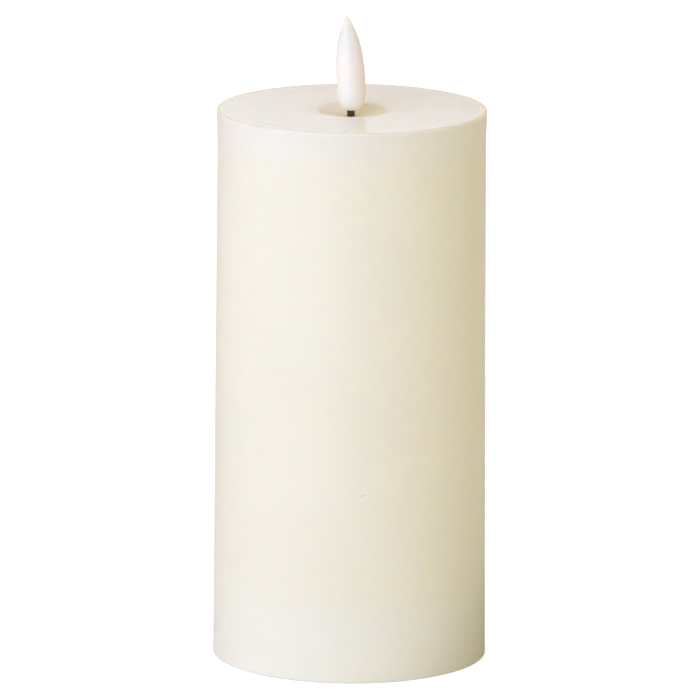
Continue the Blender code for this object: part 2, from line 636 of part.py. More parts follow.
def slide_switch():
    """The switch under the board: its case, the slider inside it, and the knob that fingers push."""
    at = (0, SWITCH_Y)
    low, high = 7.8 * MM, BOARD_BOTTOM - GAP
    case = block("switch_case", at, (5.8 * MM, 2.5 * MM), low, high, "bright_metal")
    reach = SWITCH_TRAVEL + GAP
    cut(
        case,
        block("case_inside", at, (2.2 * MM + reach, 1.7 * MM), low + 0.5 * MM, high - 1 * MM),
        block("case_slot", at, (0.65 * MM + reach, 0.95 * MM), low - 1 * MM, low + 1 * MM),
    )
    slider = block("switch_slider", at, (0.65 * MM, 0.65 * MM), 6.3 * MM, 9 * MM, "black_plastic")
    join(slider, block("slider_block", at, (2.2 * MM, 1.3 * MM), low + 0.8 * MM, high - 1.3 * MM))
    knob = block("switch_knob", at, (1.5 * MM, 1.2 * MM), 1.1 * MM, 4 * MM, "black_plastic")
    join(
        knob,
        block("knob_shield", at, (6.2 * MM, 2.4 * MM), FLOOR_TOP + GAP, FLOOR_TOP + 1.1 * MM),
        block("knob_stem", at, (1.9 * MM, 1.2 * MM), FLOOR_TOP + 0.8 * MM, 6 * MM),
        *[block(f"knob_prong_{i}", (side * 1.43 * MM, SWITCH_Y), (0.47 * MM, 1.2 * MM), 5.7 * MM, 7.5 * MM)
          for i, side in enumerate((-1, 1))],
    )
    for piece in (slider, knob):
        move_origin(piece, (0, SWITCH_Y, FLOOR_TOP))


def wires():
    """The lamp's two wires up the hollow, and the two from the battery contacts to the board."""
    x, y = SOCKET_AT / MM
    for side, word, finish in ((1, "positive", "red_insulation"), (-1, "negative", "black_insulation")):
        route = in_mm((x + 1.2 * side, y, 20.6), (x + 1.2 * side, y, 26), (13 + 1.3 * side, 17, 42))
        route += in_mm((11 + 1.5 * side, 6 + side, 66), (2 + 1.8 * side, -5 + side, 92))
        route += in_mm((-1 + 1.8 * side, -2, 114), (1.6 * side, 0, 127), (1.6 * side, 0, 132.3))
        wire(f"lamp_wire_{word}", smooth_route(route, 3.6 * MM), WIRE_RADIUS, finish)
    red = in_mm((-26.2, 7.4, 20.5), (-23, 9.5, 20.5), (-18.2, 15.4, 20.5), (-16.4, 18.1, 19.4))
    red += in_mm((-15.9, 18.7, 17), (-15.8, 18.8, 14.4))
    black = in_mm((-26.2, -7.4, 20.5), (-21, -4, 20.5), (-15, 6, 20.5), (-12.6, 15.4, 20.5))
    black += in_mm((-11.9, 18.1, 19.4), (-11.5, 18.7, 17), (-11.4, 18.8, 14.4))
    wire("battery_wire_positive", smooth_route(red, 1.5 * MM), THIN_WIRE_RADIUS, "red_insulation")
    wire("battery_wire_negative", smooth_route(black, 1.5 * MM), THIN_WIRE_RADIUS, "black_insulation")


def build():
    clear_scene()
    wax_shell()
    flame_diffuser()
    flame_lamp()
    wick_holder()
    base_housing()
    base_cover()
    screws()
    battery_door()
    cells()
    contacts()
    circuit_board()
    controller_chip()
    board_parts()
    ir_receiver()
    lead_connector()
    slide_switch()
    wires()


build()
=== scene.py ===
"""The looks of the flameless candle: wax, flame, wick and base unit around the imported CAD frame."""

import math

import bmesh
import bpy
from mathutils import Matrix, Vector, noise


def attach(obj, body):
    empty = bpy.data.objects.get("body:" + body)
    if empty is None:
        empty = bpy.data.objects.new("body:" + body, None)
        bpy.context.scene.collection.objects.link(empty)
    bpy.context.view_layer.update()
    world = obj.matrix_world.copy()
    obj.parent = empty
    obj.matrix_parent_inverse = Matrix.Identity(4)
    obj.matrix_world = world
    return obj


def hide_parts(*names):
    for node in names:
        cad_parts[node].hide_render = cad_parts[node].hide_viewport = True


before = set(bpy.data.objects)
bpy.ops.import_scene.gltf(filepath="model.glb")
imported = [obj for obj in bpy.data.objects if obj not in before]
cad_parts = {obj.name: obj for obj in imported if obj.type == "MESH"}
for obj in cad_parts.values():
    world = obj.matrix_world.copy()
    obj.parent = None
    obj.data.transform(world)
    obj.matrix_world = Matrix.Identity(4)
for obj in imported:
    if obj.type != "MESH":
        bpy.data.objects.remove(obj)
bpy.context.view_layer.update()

MM = 0.001
BODY = "candle"

# Shape of the wax, in millimetres, close to the CAD shell
FOOT_RADIUS, NECK_RADIUS, RIM_RADIUS = 37.5, 36.6, 36.9
BODY_HEIGHT, RIM_FLARE = 152.0, 8.0
FOOT_FILLET, RIM_FILLET = 0.4, 0.6
TOP_SAG, DISH_RADIUS, DISH_DEPTH = 0.3, 11.2, 1.8
DISH_FLOOR = BODY_HEIGHT - TOP_SAG - DISH_DEPTH

# Its hollow: a recess round the base unit, walls, a slab on top, and a pocket for the wick's holder
UNIT_HEIGHT, RECESS_RADIUS, RECESS_TOP, RECESS_CHAMFER = 22.0, 33.4, 23.1, 0.4
WALL_FOOT_RADIUS, WALL_MIDDLE_RADIUS, WALL_MIDDLE, WALL_TOP_RADIUS = 32.4, 32.1, 80.0, 31.7
SLAB_BOTTOM, SLAB_FILLET, POCKET_RADIUS, POCKET_ROOF = 144.0, 3.0, 4.3, 2.0

# The wick, which stands a little to one side, and its holes in the wax and in the flame's foot
WICK_RADIUS, WICK_BORE, WICK_ASIDE = 1.05, 0.7, -0.3
WICK_FOOT, WICK_LENGTH = BODY_HEIGHT - 5.2, 7.8
WAX_HOLE, FLAME_HOLE = 1.12, 1.35

# Shape of the flame, in millimetres
FLAME_FOOT, FLAME_HEIGHT = BODY_HEIGHT - 0.55, 26.3
FLAME_RADIUS, FLAME_WIDEST = 3.9, 6.1
FLAME_LEAN, FLAME_BEND = -1.55, 0.3
FLAME_TOP_POWER, FLAME_FOOT_POWER = 3.2, 2.8
FLAME_WALL, FLAME_TIP_SOLID, FLAME_FLOOR = 1.1, 5.0, 1.5

# Places that the finishes of small parts follow, in millimetres
TRACK_HALF_PITCH, RESISTOR_END_Y, CHIP_Y, CHIP_HALF_WIDTH = 1.27, 17.8, 21.0, 1.95
CELL_Y, CELL_Z, CELL_END_RADIUS, CELL_BAND = 7.4, 11.1, 6.5, 11.0

# Colours of the wax: with air or something solid behind it, on its top with painted shade towards the
# back right, in its dish with painted shade towards its right, and its marks
WAX_HOLLOW = (0.834, 0.823, 0.708)
WAX_BACKED = (0.834, 0.834, 0.757)
WAX_TOP = (0.970, 0.945, 0.895)
WAX_TOP_WARM_AND_PAINTED_SHADE = (0.830, 0.780, 0.700)
WAX_DISH = (0.885, 0.830, 0.640)
WAX_DISH_SHADE = (0.855, 0.775, 0.540)
WAX_DISH_DARKEST_SHADE = (0.775, 0.665, 0.415)
WAX_MARK = (0.45, 0.38, 0.26)
DISH_TINT_CENTRE, DISH_TINT_CORE, DISH_TINT_EDGE = (0.45, -0.9, 0.0), 8.6, 10.5

# Colours of the flame, on its -X and +X sides as painted light and shade, of its tip likewise, and of
# its foot; and a faint painted red glow, though the flame is not lit
FLAME_PAINTED_SIDES = (0.925, 0.875, 0.805), (0.985, 0.835, 0.900)
FLAME_TIP_PAINTED_SIDES = (0.82, 0.81, 0.79), (0.89, 0.86, 0.92)
FLAME_FOOT_COLOUR = (0.99, 0.93, 0.96)
FLAME_PAINTED_GLOW, FLAME_PAINTED_GLOW_COLOUR = 0.04, (1.0, 0.25, 0.20, 1)


# ---------------------------------------------------------------- materials


class Surface:
    """A Principled material, with short calls for the nodes that feed it. Lengths are in mm."""

    def __init__(self, name, colour=(0.8, 0.8, 0.8), **constants):
        self.material = bpy.data.materials.new(name)
        self.material.use_nodes = True
        self.tree = self.material.node_tree
        self.shader = self.tree.nodes["Principled BSDF"]
        self.set("Base Color", (*colour, 1))
        for key, value in constants.items():
            self.set(key.replace("_", " ").title().replace("Ior", "IOR"), value)
        coordinates = self.tree.nodes.new("ShaderNodeTexCoord")
        self.place = self.vector("SCALE", coordinates.outputs["Object"], scale=1000)
        self.x, self.y, self.z = self.split(self.place)

    def set(self, socket, value):
        self.shader.inputs[socket].default_value = value

    def put(self, target, value):
        """Links a socket, or sets a constant, on an input."""
        if isinstance(value, bpy.types.NodeSocket):
            self.tree.links.new(value, target)
        elif isinstance(value, tuple) and len(value) == 3 and target.type == "RGBA":
            target.default_value = (*value, 1)
        else:
            target.default_value = value

    def feed(self, socket, value):
        self.put(self.shader.inputs[socket], value)

    def math(self, operation, a, b=0.0, c=0.0):
        node = self.tree.nodes.new("ShaderNodeMath")
        node.operation = operation
        for target, value in zip(node.inputs, (a, b, c)):
            self.put(target, value)
        return node.outputs[0]

    def vector(self, operation, a, b=None, scale=None):
        node = self.tree.nodes.new("ShaderNodeVectorMath")
        node.operation = operation
        self.put(node.inputs[0], a)
        if b is not None:
            self.put(node.inputs[1], b)
        if scale is not None:
            self.put(node.inputs["Scale"], scale)
        return node.outputs["Value" if operation in ("LENGTH", "DISTANCE", "DOT_PRODUCT") else "Vector"]

    def split(self, vector):
        node = self.tree.nodes.new("ShaderNodeSeparateXYZ")
        self.put(node.inputs[0], vector)
        return node.outputs[0], node.outputs[1], node.outputs[2]

    def join(self, x, y, z):
        node = self.tree.nodes.new("ShaderNodeCombineXYZ")
        for target, value in zip(node.inputs, (x, y, z)):
            self.put(target, value)
        return node.outputs[0]

    def noise(self, scale, vector=None, detail=2.0, roughness=0.5):
        node = self.tree.nodes.new("ShaderNodeTexNoise")
        self.put(node.inputs["Vector"], vector or self.place)
        self.put(node.inputs["Scale"], scale)
        self.put(node.inputs["Detail"], detail)
        self.put(node.inputs["Roughness"], roughness)
        return node.outputs[0]

    def cells(self, scale, vector=None, output="Distance"):
        node = self.tree.nodes.new("ShaderNodeTexVoronoi")
        self.put(node.inputs["Vector"], vector or self.place)
        self.put(node.inputs["Scale"], scale)
        return node.outputs[output]

    def fade(self, value, low, high, start=0.0, end=1.0):
        """A smooth step from start, at low and below, to end, at high and above."""
        node = self.tree.nodes.new("ShaderNodeMapRange")
        node.interpolation_type = "SMOOTHSTEP"
        for target, given in zip(node.inputs, (value, low, high, start, end)):
            self.put(target, given)
        return node.outputs[0]

    def mix(self, share, a, b):
        node = self.tree.nodes.new("ShaderNodeMix")
        node.data_type = "RGBA"
        self.put(node.inputs[0], share)
        self.put(node.inputs[6], a)
        self.put(node.inputs[7], b)
        return node.outputs[2]

    def tint(self, colour, share, strength):
        """The colour, darkened where share is below a half and lightened where it is above."""
        level = self.math("MULTIPLY_ADD", share, 2 * strength, 1 - strength)
        return self.vector("MULTIPLY", colour, self.join(level, level, level))

    def bump(self, height, depth, normal=None):
        """Adds relief of a depth in mm, where height is 0 to 1."""
        node = self.tree.nodes.new("ShaderNodeBump")
        self.put(node.inputs["Height"], height)
        self.put(node.inputs["Distance"], depth * MM)
        if normal is not None:
            self.put(node.inputs["Normal"], normal)
        return node.outputs[0]


def subsurface(surface, weight, radii, scale):
    """Light that goes into the material and comes out again, radii in mm for red, green and blue."""
    surface.set("Subsurface Weight", weight)
    surface.set("Subsurface Radius", radii)
    surface.set("Subsurface Scale", scale * MM)


def wax_side(s, cloud):
    """Whiter where solid wax or the base unit stands behind, and a little darker near the rim as painted
    shade.
    """
    slab = s.fade(s.z, SLAB_BOTTOM - 5, SLAB_BOTTOM + 4)
    foot = s.fade(s.z, UNIT_HEIGHT - 9, UNIT_HEIGHT + 5, 1.0, 0.0)
    colour = s.mix(s.math("MAXIMUM", slab, foot), WAX_HOLLOW, WAX_BACKED)
    # painted shade: the wax a little darker towards the rim
    wide = s.fade(s.z, 139.0, 147.0, 0.0, 0.015)
    painted_rim_shade = s.math("ADD", wide, s.fade(s.z, 147.0, 151.6, 0.0, 0.05))
    colour = s.vector("MULTIPLY", colour, s.mix(painted_rim_shade, (1.0, 1.0, 1.0), (0.0, 0.1, 0.4)))
    colour = s.tint(colour, cloud, 0.025)
    return s.tint(colour, s.noise(0.35, detail=2.0), 0.008)


def wax_streaks(s, radius):
    """Streaks that run round the wick, from smoothing the poured wax."""
    inner = s.math("MAXIMUM", radius, 1.0)
    across = s.math("MULTIPLY", s.math("DIVIDE", s.x, inner), 1.4)
    along = s.math("MULTIPLY", s.math("DIVIDE", s.y, inner), 1.4)
    ring = s.math("ADD", radius, s.math("MULTIPLY", s.noise(0.08), 5.0))
    round_wick = s.join(across, along, s.math("MULTIPLY", ring, 0.30))
    return s.noise(1.0, round_wick, detail=3.0, roughness=0.55)


def wax_top(s, radius, streaks):
    """Warmer towards the back right as painted shade, in streaks, and round the dish."""
    # painted shade: the top darker and warmer towards the back right, away from the light
    place = s.math("ADD", s.vector("DOT_PRODUCT", s.place, (0.010, 0.013, 0.0)), 0.42)
    halo = s.fade(radius, 9.0, 19.0, 0.25, 0.0)
    streak = s.math("SUBTRACT", streaks, 0.5)
    warm = s.math("MULTIPLY_ADD", streak, 0.9, s.math("ADD", place, halo))
    return s.mix(s.fade(warm, 0.0, 1.0), WAX_TOP, WAX_TOP_WARM_AND_PAINTED_SHADE)


def wax_marks(s):
    """A few specks in the wax, and one short scratch on the front."""
    chosen = s.fade(s.split(s.cells(0.11, output="Color"))[0], 0.80, 0.82)
    speck = s.math("MULTIPLY", s.fade(s.cells(0.11), 0.018, 0.030, 1.0, 0.0), chosen)
    start, end = Vector((2.6, 0, 52.15)), Vector((4.4, 0, 52.6))
    way = (end - start) / (end - start).length_squared
    here = s.join(s.x, 0.0, s.z)
    share = s.vector("DOT_PRODUCT", s.vector("SUBTRACT", here, tuple(start)), tuple(way))
    share = s.math("MINIMUM", s.math("MAXIMUM", share, 0.0), 1.0)
    near_x = s.math("MULTIPLY_ADD", share, end.x - start.x, start.x)
    near_z = s.math("MULTIPLY_ADD", share, end.z - start.z, start.z)
    gap = s.vector("DISTANCE", here, s.join(near_x, 0.0, near_z))
    on_front = s.fade(s.y, -30.0, -20.0, 1.0, 0.0)
    scratch = s.math("MULTIPLY", s.fade(gap, 0.08, 0.22, 1.0, 0.0), on_front)
    return s.math("MAXIMUM", s.math("MULTIPLY", speck, 0.45), s.math("MULTIPLY", scratch, 0.28))


def wax_material():
    s = Surface("ivory_wax", roughness=0.4, ior=1.45)
    subsurface(s, 0.75, (1.0, 0.62, 0.32), 4.0)
    radius = s.vector("LENGTH", s.join(s.x, s.y, 0.0))
    cloud = s.noise(0.035, detail=3.0)
    streaks = wax_streaks(s, radius)

    rim = RIM_RADIUS - RIM_FILLET
    inside_rim = s.fade(radius, rim - 0.6, rim, 1.0, 0.0)
    is_top = s.math("MULTIPLY", s.fade(s.z, BODY_HEIGHT - 3.0, BODY_HEIGHT - 2.6), inside_rim)
    flat = s.join(s.x, s.y, 0.0)
    from_dish = s.vector("LENGTH", s.vector("SUBTRACT", flat, DISH_TINT_CENTRE))
    tinted = s.fade(from_dish, DISH_TINT_CORE, DISH_TINT_EDGE, 1.0, 0.0)
    in_dish = s.math("MULTIPLY", tinted, s.fade(s.z, 148.0, 148.5))
    # painted shade: the dish darker to the right, where the flame's shadow falls, and darkest at its
    # front right
    dish = s.mix(s.fade(s.x, -7.0, 8.0), WAX_DISH, WAX_DISH_SHADE)
    front_right = s.math("MULTIPLY", s.fade(s.y, -8.0, -3.0, 1.0, 0.0), s.fade(s.x, -4.0, 6.0))
    dish = s.mix(front_right, dish, WAX_DISH_DARKEST_SHADE)

    colour = s.mix(is_top, wax_side(s, cloud), wax_top(s, radius, streaks))
    colour = s.mix(in_dish, colour, dish)
    s.feed("Base Color", s.mix(wax_marks(s), colour, WAX_MARK))

    # glossier on the top, in streaks, and dull in the dish
    smear = s.fade(streaks, 0.35, 0.7, 0.10, 0.22)
    matt = s.fade(cloud, 0.3, 0.7, 0.34, 0.42)
    roughness = s.math("MULTIPLY_ADD", is_top, s.math("SUBTRACT", smear, matt), matt)
    s.feed("Roughness", s.math("MAXIMUM", roughness, s.math("MULTIPLY", in_dish, 0.5)))
    s.feed("Specular IOR Level", s.math("MULTIPLY_ADD", in_dish, -0.3, 0.5))

    normal = s.bump(s.noise(0.16, detail=1.0), 0.10)
    normal = s.bump(s.noise(2.2, detail=2.0), 0.006, normal)
    s.feed("Normal", s.bump(s.math("MULTIPLY", streaks, is_top), 0.03, normal))
    return s.material


def flame_material():
    """Frosted translucent plastic, with painted light: its sides coloured as lit and as shaded, and a
    faint red glow, for light that crosses it with a warm tint.
    """
    s = Surface("frosted_flame", roughness=0.36, ior=1.46)
    subsurface(s, 0.9, (1.0, 0.55, 0.40), 2.4)
    foot = s.fade(s.z, BODY_HEIGHT + 1, BODY_HEIGHT + 10, 1.0, 0.0)
    tip = s.fade(s.z, BODY_HEIGHT + 10, BODY_HEIGHT + 22)
    # painted light and shade: the -X and +X sides coloured as lit and as shaded
    side = s.fade(s.x, -3.0, 3.0)
    colour = s.mix(tip, s.mix(side, *FLAME_PAINTED_SIDES), s.mix(side, *FLAME_TIP_PAINTED_SIDES))
    colour = s.mix(foot, colour, FLAME_FOOT_COLOUR)
    s.feed("Base Color", s.tint(colour, s.noise(0.5, detail=2.0), 0.01))
    # painted glow: the flame is not lit, and the glow stands for light crossing the plastic
    s.feed("Emission Strength", s.math("MULTIPLY_ADD", tip, -FLAME_PAINTED_GLOW, FLAME_PAINTED_GLOW))
    s.set("Emission Color", FLAME_PAINTED_GLOW_COLOUR)
    s.feed("Normal", s.bump(s.noise(5.0, detail=2.0), 0.008))
    return s.material


def wick_material():
    s = Surface("burnt_wick", roughness=0.75)
    fibre = s.noise(2.5, s.vector("MULTIPLY", s.place, (3.0, 3.0, 1.0)), detail=3.0)
    dark, light = (0.030, 0.019, 0.011), (0.078, 0.052, 0.032)
    s.feed("Base Color", s.mix(s.fade(fibre, 0.35, 0.7), dark, light))
    s.feed("Normal", s.bump(fibre, 0.12))
    return s.material


def moulded_plastic(name, colour, roughness=0.5, spark=0.03):
    """Plastic with the fine sparkle of a spark-eroded mould."""
    s = Surface(name, colour, roughness=roughness, ior=1.49)
    grain = s.noise(4.5, detail=2.0)
    slow = s.noise(0.12, detail=2.0)
    s.feed("Base Color", s.tint(colour, slow, 0.02))
    s.feed("Roughness", s.fade(grain, 0.3, 0.7, roughness - 0.06, roughness + 0.06))
    s.feed("Normal", s.bump(grain, spark))
    return s.material


def metal(name, colour, roughness, stretch=(1.0, 1.0, 1.0)):
    """Rolled or plated metal, whose fine scratches run along the axis with the smallest stretch."""
    s = Surface(name, colour, metallic=1.0, roughness=roughness)
    lines = s.noise(6.0, s.vector("MULTIPLY", s.place, tuple(stretch)), detail=3.0)
    s.feed("Base Color", s.tint(colour, s.noise(0.4, detail=2.0), 0.06))
    s.feed("Roughness", s.fade(lines, 0.3, 0.7, roughness - 0.08, roughness + 0.1))
    s.feed("Normal", s.bump(lines, 0.01))
    return s.material


def insulation(name, colour):
    s = Surface(name, colour, roughness=0.42, ior=1.5)
    s.feed("Base Color", s.tint(colour, s.noise(1.5, detail=2.0), 0.06))
    s.feed("Normal", s.bump(s.noise(3.0, detail=2.0), 0.02))
    return s.material


def board_material():
    """Green solder mask over copper tracks, with tinned pads."""
    s = Surface("solder_mask", roughness=0.32, ior=1.55)
    column = s.math("PINGPONG", s.math("ADD", s.x, 0.3), TRACK_HALF_PITCH)
    row = s.math("PINGPONG", s.math("ADD", s.y, 0.4), TRACK_HALF_PITCH)
    bend = s.noise(0.22, detail=1.0)
    track = s.mix(s.fade(bend, 0.49, 0.51), s.join(column, 0.0, 0.0), s.join(row, 0.0, 0.0))
    on_track = s.fade(s.split(track)[0], 0.26, 0.34, 1.0, 0.0)
    colour = s.mix(on_track, (0.020, 0.115, 0.050), (0.045, 0.215, 0.085))
    s.feed("Base Color", s.tint(colour, s.noise(2.0, detail=3.0), 0.08))
    s.feed("Normal", s.bump(on_track, 0.04))
    return s.material


def cell_material():
    """A plain dark jacket with a copper-coloured end band and bare steel ends."""
    s = Surface("cell_jacket", roughness=0.3)
    way = s.fade(s.y, -0.1, 0.1, 1.0, -1.0)
    along = s.math("MULTIPLY", s.x, way)
    band = s.fade(along, CELL_BAND, CELL_BAND + 0.2)
    off_axis = s.math("SUBTRACT", s.math("ABSOLUTE", s.y), CELL_Y)
    radius = s.vector("LENGTH", s.join(0.0, off_axis, s.math("SUBTRACT", s.z, CELL_Z)))
    bare = s.fade(radius, CELL_END_RADIUS - 0.05, CELL_END_RADIUS + 0.05, 1.0, 0.0)
    colour = s.mix(band, (0.028, 0.030, 0.036), (0.55, 0.27, 0.12))
    colour = s.mix(bare, colour, (0.62, 0.62, 0.60))
    s.feed("Base Color", s.tint(colour, s.noise(0.5, detail=3.0), 0.06))
    s.feed("Metallic", s.math("MAXIMUM", s.math("MULTIPLY", band, 0.85), bare))
    s.feed("Roughness", s.fade(s.noise(1.2, detail=3.0), 0.3, 0.7, 0.24, 0.38))
    return s.material


def clear_resin():
    s = Surface("led_resin", (0.98, 0.90, 0.66), roughness=0.12, ior=1.5, transmission_weight=0.55)
    core = s.fade(s.noise(0.9, detail=1.0), 0.35, 0.65)
    s.feed("Base Color", s.mix(core, (0.98, 0.93, 0.72), (0.95, 0.80, 0.38)))
    return s.material


def banded_resistor():
    """Four bands, each by its distance from one end of the body."""
    s = Surface("resistor_body", roughness=0.4)
    along = s.math("SUBTRACT", s.y, RESISTOR_END_Y)
    bands = {
        0.6: (0.25, 0.10, 0.03),
        1.3: (0.01, 0.01, 0.01),
        2.0: (0.55, 0.05, 0.03),
        2.9: (0.60, 0.42, 0.10),
    }
    colour = (0.62, 0.48, 0.30)
    for start, band in bands.items():
        after_start = s.fade(along, start, start + 0.05)
        before_end = s.fade(along, start + 0.35, start + 0.4, 1.0, 0.0)
        colour = s.mix(s.math("MULTIPLY", after_start, before_end), colour, band)
    s.feed("Base Color", s.tint(colour, s.noise(2.0), 0.05))
    s.feed("Normal", s.bump(s.noise(4.0), 0.02))
    return s.material


def chip_material():
    """Black moulded package above tinned legs."""
    s = Surface("chip_package", roughness=0.5)
    from_middle = s.math("ABSOLUTE", s.math("SUBTRACT", s.y, CHIP_Y))
    legs = s.fade(from_middle, CHIP_HALF_WIDTH, CHIP_HALF_WIDTH + 0.05)
    package = s.tint((0.02, 0.02, 0.022), s.noise(5.0), 0.2)
    s.feed("Base Color", s.mix(legs, package, (0.66, 0.66, 0.64)))
    s.feed("Metallic", legs)
    s.feed("Normal", s.bump(s.noise(6.0), 0.02))
    return s.material


# ---------------------------------------------------------------- shapes


def revolve(name, rows, segments, closed, shift=None):
    """A mesh turned about Z from rows of (radius, z) in mm. shift moves each point a little."""
    verts, faces = [], []
    first = []
    for radius, z in rows:
        first.append(len(verts))
        count = 1 if radius < 1e-6 else segments
        for i in range(count):
            angle = 2 * math.pi * i / segments
            point = Vector((radius * math.cos(angle), radius * math.sin(angle), z))
            if shift:
                point = shift(point, radius, z)
            verts.append(point * MM)
    counts = [b - a for a, b in zip(first, first[1:] + [len(verts)])]
    pairs = list(zip(range(len(rows)), range(1, len(rows))))
    if closed:
        pairs.append((len(rows) - 1, 0))
    for a, b in pairs:
        for i in range(segments):
            j = (i + 1) % segments
            corners = [
                first[a] + i % counts[a],
                first[a] + j % counts[a],
                first[b] + j % counts[b],
                first[b] + i % counts[b],
            ]
            faces.append(list(dict.fromkeys(corners)))
    mesh = bpy.data.meshes.new(name)
    mesh.from_pydata(verts, [], faces)
    shape = bmesh.new()
    shape.from_mesh(mesh)
    bmesh.ops.recalc_face_normals(shape, faces=shape.faces)
    shape.to_mesh(mesh)
    shape.free()
    mesh.shade_smooth()
    mesh.set_sharp_from_angle(angle=math.radians(50))
    obj = bpy.data.objects.new(name, mesh)
    bpy.context.scene.collection.objects.link(obj)
    return obj


def arc(centre, radius, start, end, steps):
    turn = [math.radians(start + (end - start) * i / steps) for i in range(steps + 1)]
    return [(centre[0] + radius * math.cos(a), centre[1] + radius * math.sin(a)) for a in turn]


def steps_between(start, end, count):
    """Points between two, without the two themselves."""
    return [
        (start[0] + (end[0] - start[0]) * i / count, start[1] + (end[1] - start[1]) * i / count)
        for i in range(1, count)
    ]


def wax_rows():
    """The shell's profile from the foot, up the outside, over the top and down inside."""
    rows = [(RECESS_RADIUS, RECESS_CHAMFER), (RECESS_RADIUS + RECESS_CHAMFER, 0.02)]
    rows += arc((FOOT_RADIUS - FOOT_FILLET, FOOT_FILLET), FOOT_FILLET, -90, 0, 8)
    neck = (NECK_RADIUS, BODY_HEIGHT - RIM_FLARE)
    rows += steps_between(rows[-1], neck, 72) + [neck]
    rim = arc((RIM_RADIUS - RIM_FILLET, BODY_HEIGHT - RIM_FILLET), RIM_FILLET, 0, 90, 9)
    rows += steps_between(neck, rim[0], 6) + rim

    # the top, which sags towards the dish, and the dish as a soft-edged bowl
    span, steps = rim[-1][0] - DISH_RADIUS, 72
    for i in range(1, steps):
        rows.append((rim[-1][0] - span * i / steps, BODY_HEIGHT - TOP_SAG * (i / steps) ** 1.5))
    for share in [1 - 0.86 * i / 30 for i in range(31)]:
        rows.append((share * DISH_RADIUS, DISH_FLOOR + DISH_DEPTH * (1 - (1 - share**2) ** 1.5)))

    # down the wick's hole, round its holder, and down the hollow to the step over the base unit
    roof = DISH_FLOOR - POCKET_ROOF
    rows += [(WAX_HOLE, DISH_FLOOR), (WAX_HOLE, roof)]
    rows += [(POCKET_RADIUS, roof), (POCKET_RADIUS, SLAB_BOTTOM)]
    rows += arc((WALL_TOP_RADIUS - SLAB_FILLET, SLAB_BOTTOM - SLAB_FILLET), SLAB_FILLET, 90, 0, 4)
    rows += [(WALL_MIDDLE_RADIUS, WALL_MIDDLE), (WALL_FOOT_RADIUS, RECESS_TOP)]
    return rows + [(RECESS_RADIUS, RECESS_TOP)]


def wax_relief(point, radius, z):
    """The slight unevenness of cast wax, always inwards, so that the shell keeps its outer size.

    The hole for the wick stands to one side, as the wick does.
    """
    if radius <= WAX_HOLE:
        return point + Vector((WICK_ASIDE, 0, 0))
    spot = point.copy()
    on_side = radius > RECESS_RADIUS + 0.1 and z < BODY_HEIGHT - 0.05
    on_top = radius > DISH_RADIUS and z > BODY_HEIGHT - TOP_SAG - 0.05
    if on_side:
        dip = 0.05 * (1 + noise.noise(spot * 0.045)) + 0.012 * (1 + noise.noise(spot * 0.2))
        out = Vector((point.x, point.y, 0)) / radius
        return point - out * dip * min(1.0, z / 4)
    if on_top:
        turn = Vector((point.x / radius, point.y / radius, 0)) * 1.3
        wander = 2.5 * noise.noise(spot * 0.07)
        streak = noise.noise(turn + Vector((0, 0, (radius + wander) * 0.42)))
        fine = noise.noise(turn * 1.7 + Vector((3, 0, (radius + wander) * 1.1)))
        inner = min(1.0, (radius - DISH_RADIUS) / 3)
        outer = min(1.0, max(0.0, (RIM_RADIUS - RIM_FILLET - radius) / 2))
        dip = 0.012 * (1 + streak) + 0.004 * (1 + fine) + 0.05 * (1 + noise.noise(spot * 0.05))
        return point - Vector((0, 0, dip * inner * outer))
    return point


def flame_radius(height):
    """Round below the widest height, and drawn to a point above it."""
    if height < FLAME_WIDEST:
        share = 1 - height / FLAME_WIDEST
        return FLAME_RADIUS * (1 - share**FLAME_FOOT_POWER) ** (1 / FLAME_FOOT_POWER)
    share = (height - FLAME_WIDEST) / (FLAME_HEIGHT - FLAME_WIDEST)
    return FLAME_RADIUS * (1 - share**FLAME_TOP_POWER)


def flame_rows():
    """A thin shell with a solid tip, on a hole for the wick."""
    heights = [FLAME_HEIGHT * (1 - math.cos(math.pi * i / 96)) / 2 for i in range(97)]
    roof = FLAME_HEIGHT - FLAME_TIP_SOLID
    outside, inside = [], []
    for height in heights:
        radius = flame_radius(height)
        if radius > FLAME_HOLE or height > FLAME_WIDEST:
            outside.append((radius, FLAME_FOOT + height))
        if FLAME_FLOOR < height < roof:
            inside.append((max(radius - FLAME_WALL, 0.0), FLAME_FOOT + height))
    outside[-1] = (0.0, FLAME_FOOT + FLAME_HEIGHT)
    hole = [(FLAME_HOLE, FLAME_FOOT + 1.2), (FLAME_HOLE, FLAME_FOOT + 0.15)]
    return [(0.0, FLAME_FOOT + roof), *reversed(inside), *hole, *outside]


def flame_lean(point, radius, z):
    """Leans to one side, more and more towards the tip."""
    share = min(1, max(0, (z - FLAME_FOOT) / FLAME_HEIGHT))
    lean = FLAME_LEAN * share**2 * (1 + FLAME_BEND) / (share + FLAME_BEND)
    return point + Vector((lean, 0, 0))


def wick_rows():
    outside = [(WICK_RADIUS, WICK_FOOT + WICK_LENGTH * i / 40) for i in range(41)]
    return outside + [(WICK_BORE, outside[-1][1]), (WICK_BORE, outside[0][1])]


def wick_fibres(point, radius, z):
    """Plaited strands round the sleeve, which stands a little to one side."""
    aside = Vector((WICK_ASIDE, 0, 0))
    if radius < 0.9:
        return point + aside
    angle = math.atan2(point.y, point.x)
    plait = math.cos(5 * angle + 2.1 * z) * math.cos(5 * angle - 2.1 * z)
    rough = noise.noise(point * 2.3)
    swell = 1 - 0.02 * (1 - plait) - 0.03 * (1 + rough) / 2
    return Vector((point.x, point.y, 0)) * swell + Vector((0, 0, z)) + aside


# ---------------------------------------------------------------- pieces


def dress(obj, material):
    obj.data.materials.clear()
    obj.data.materials.append(material)


def replace(obj, node, material):
    dress(obj, material)
    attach(obj, BODY)
    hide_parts(node)
    return obj


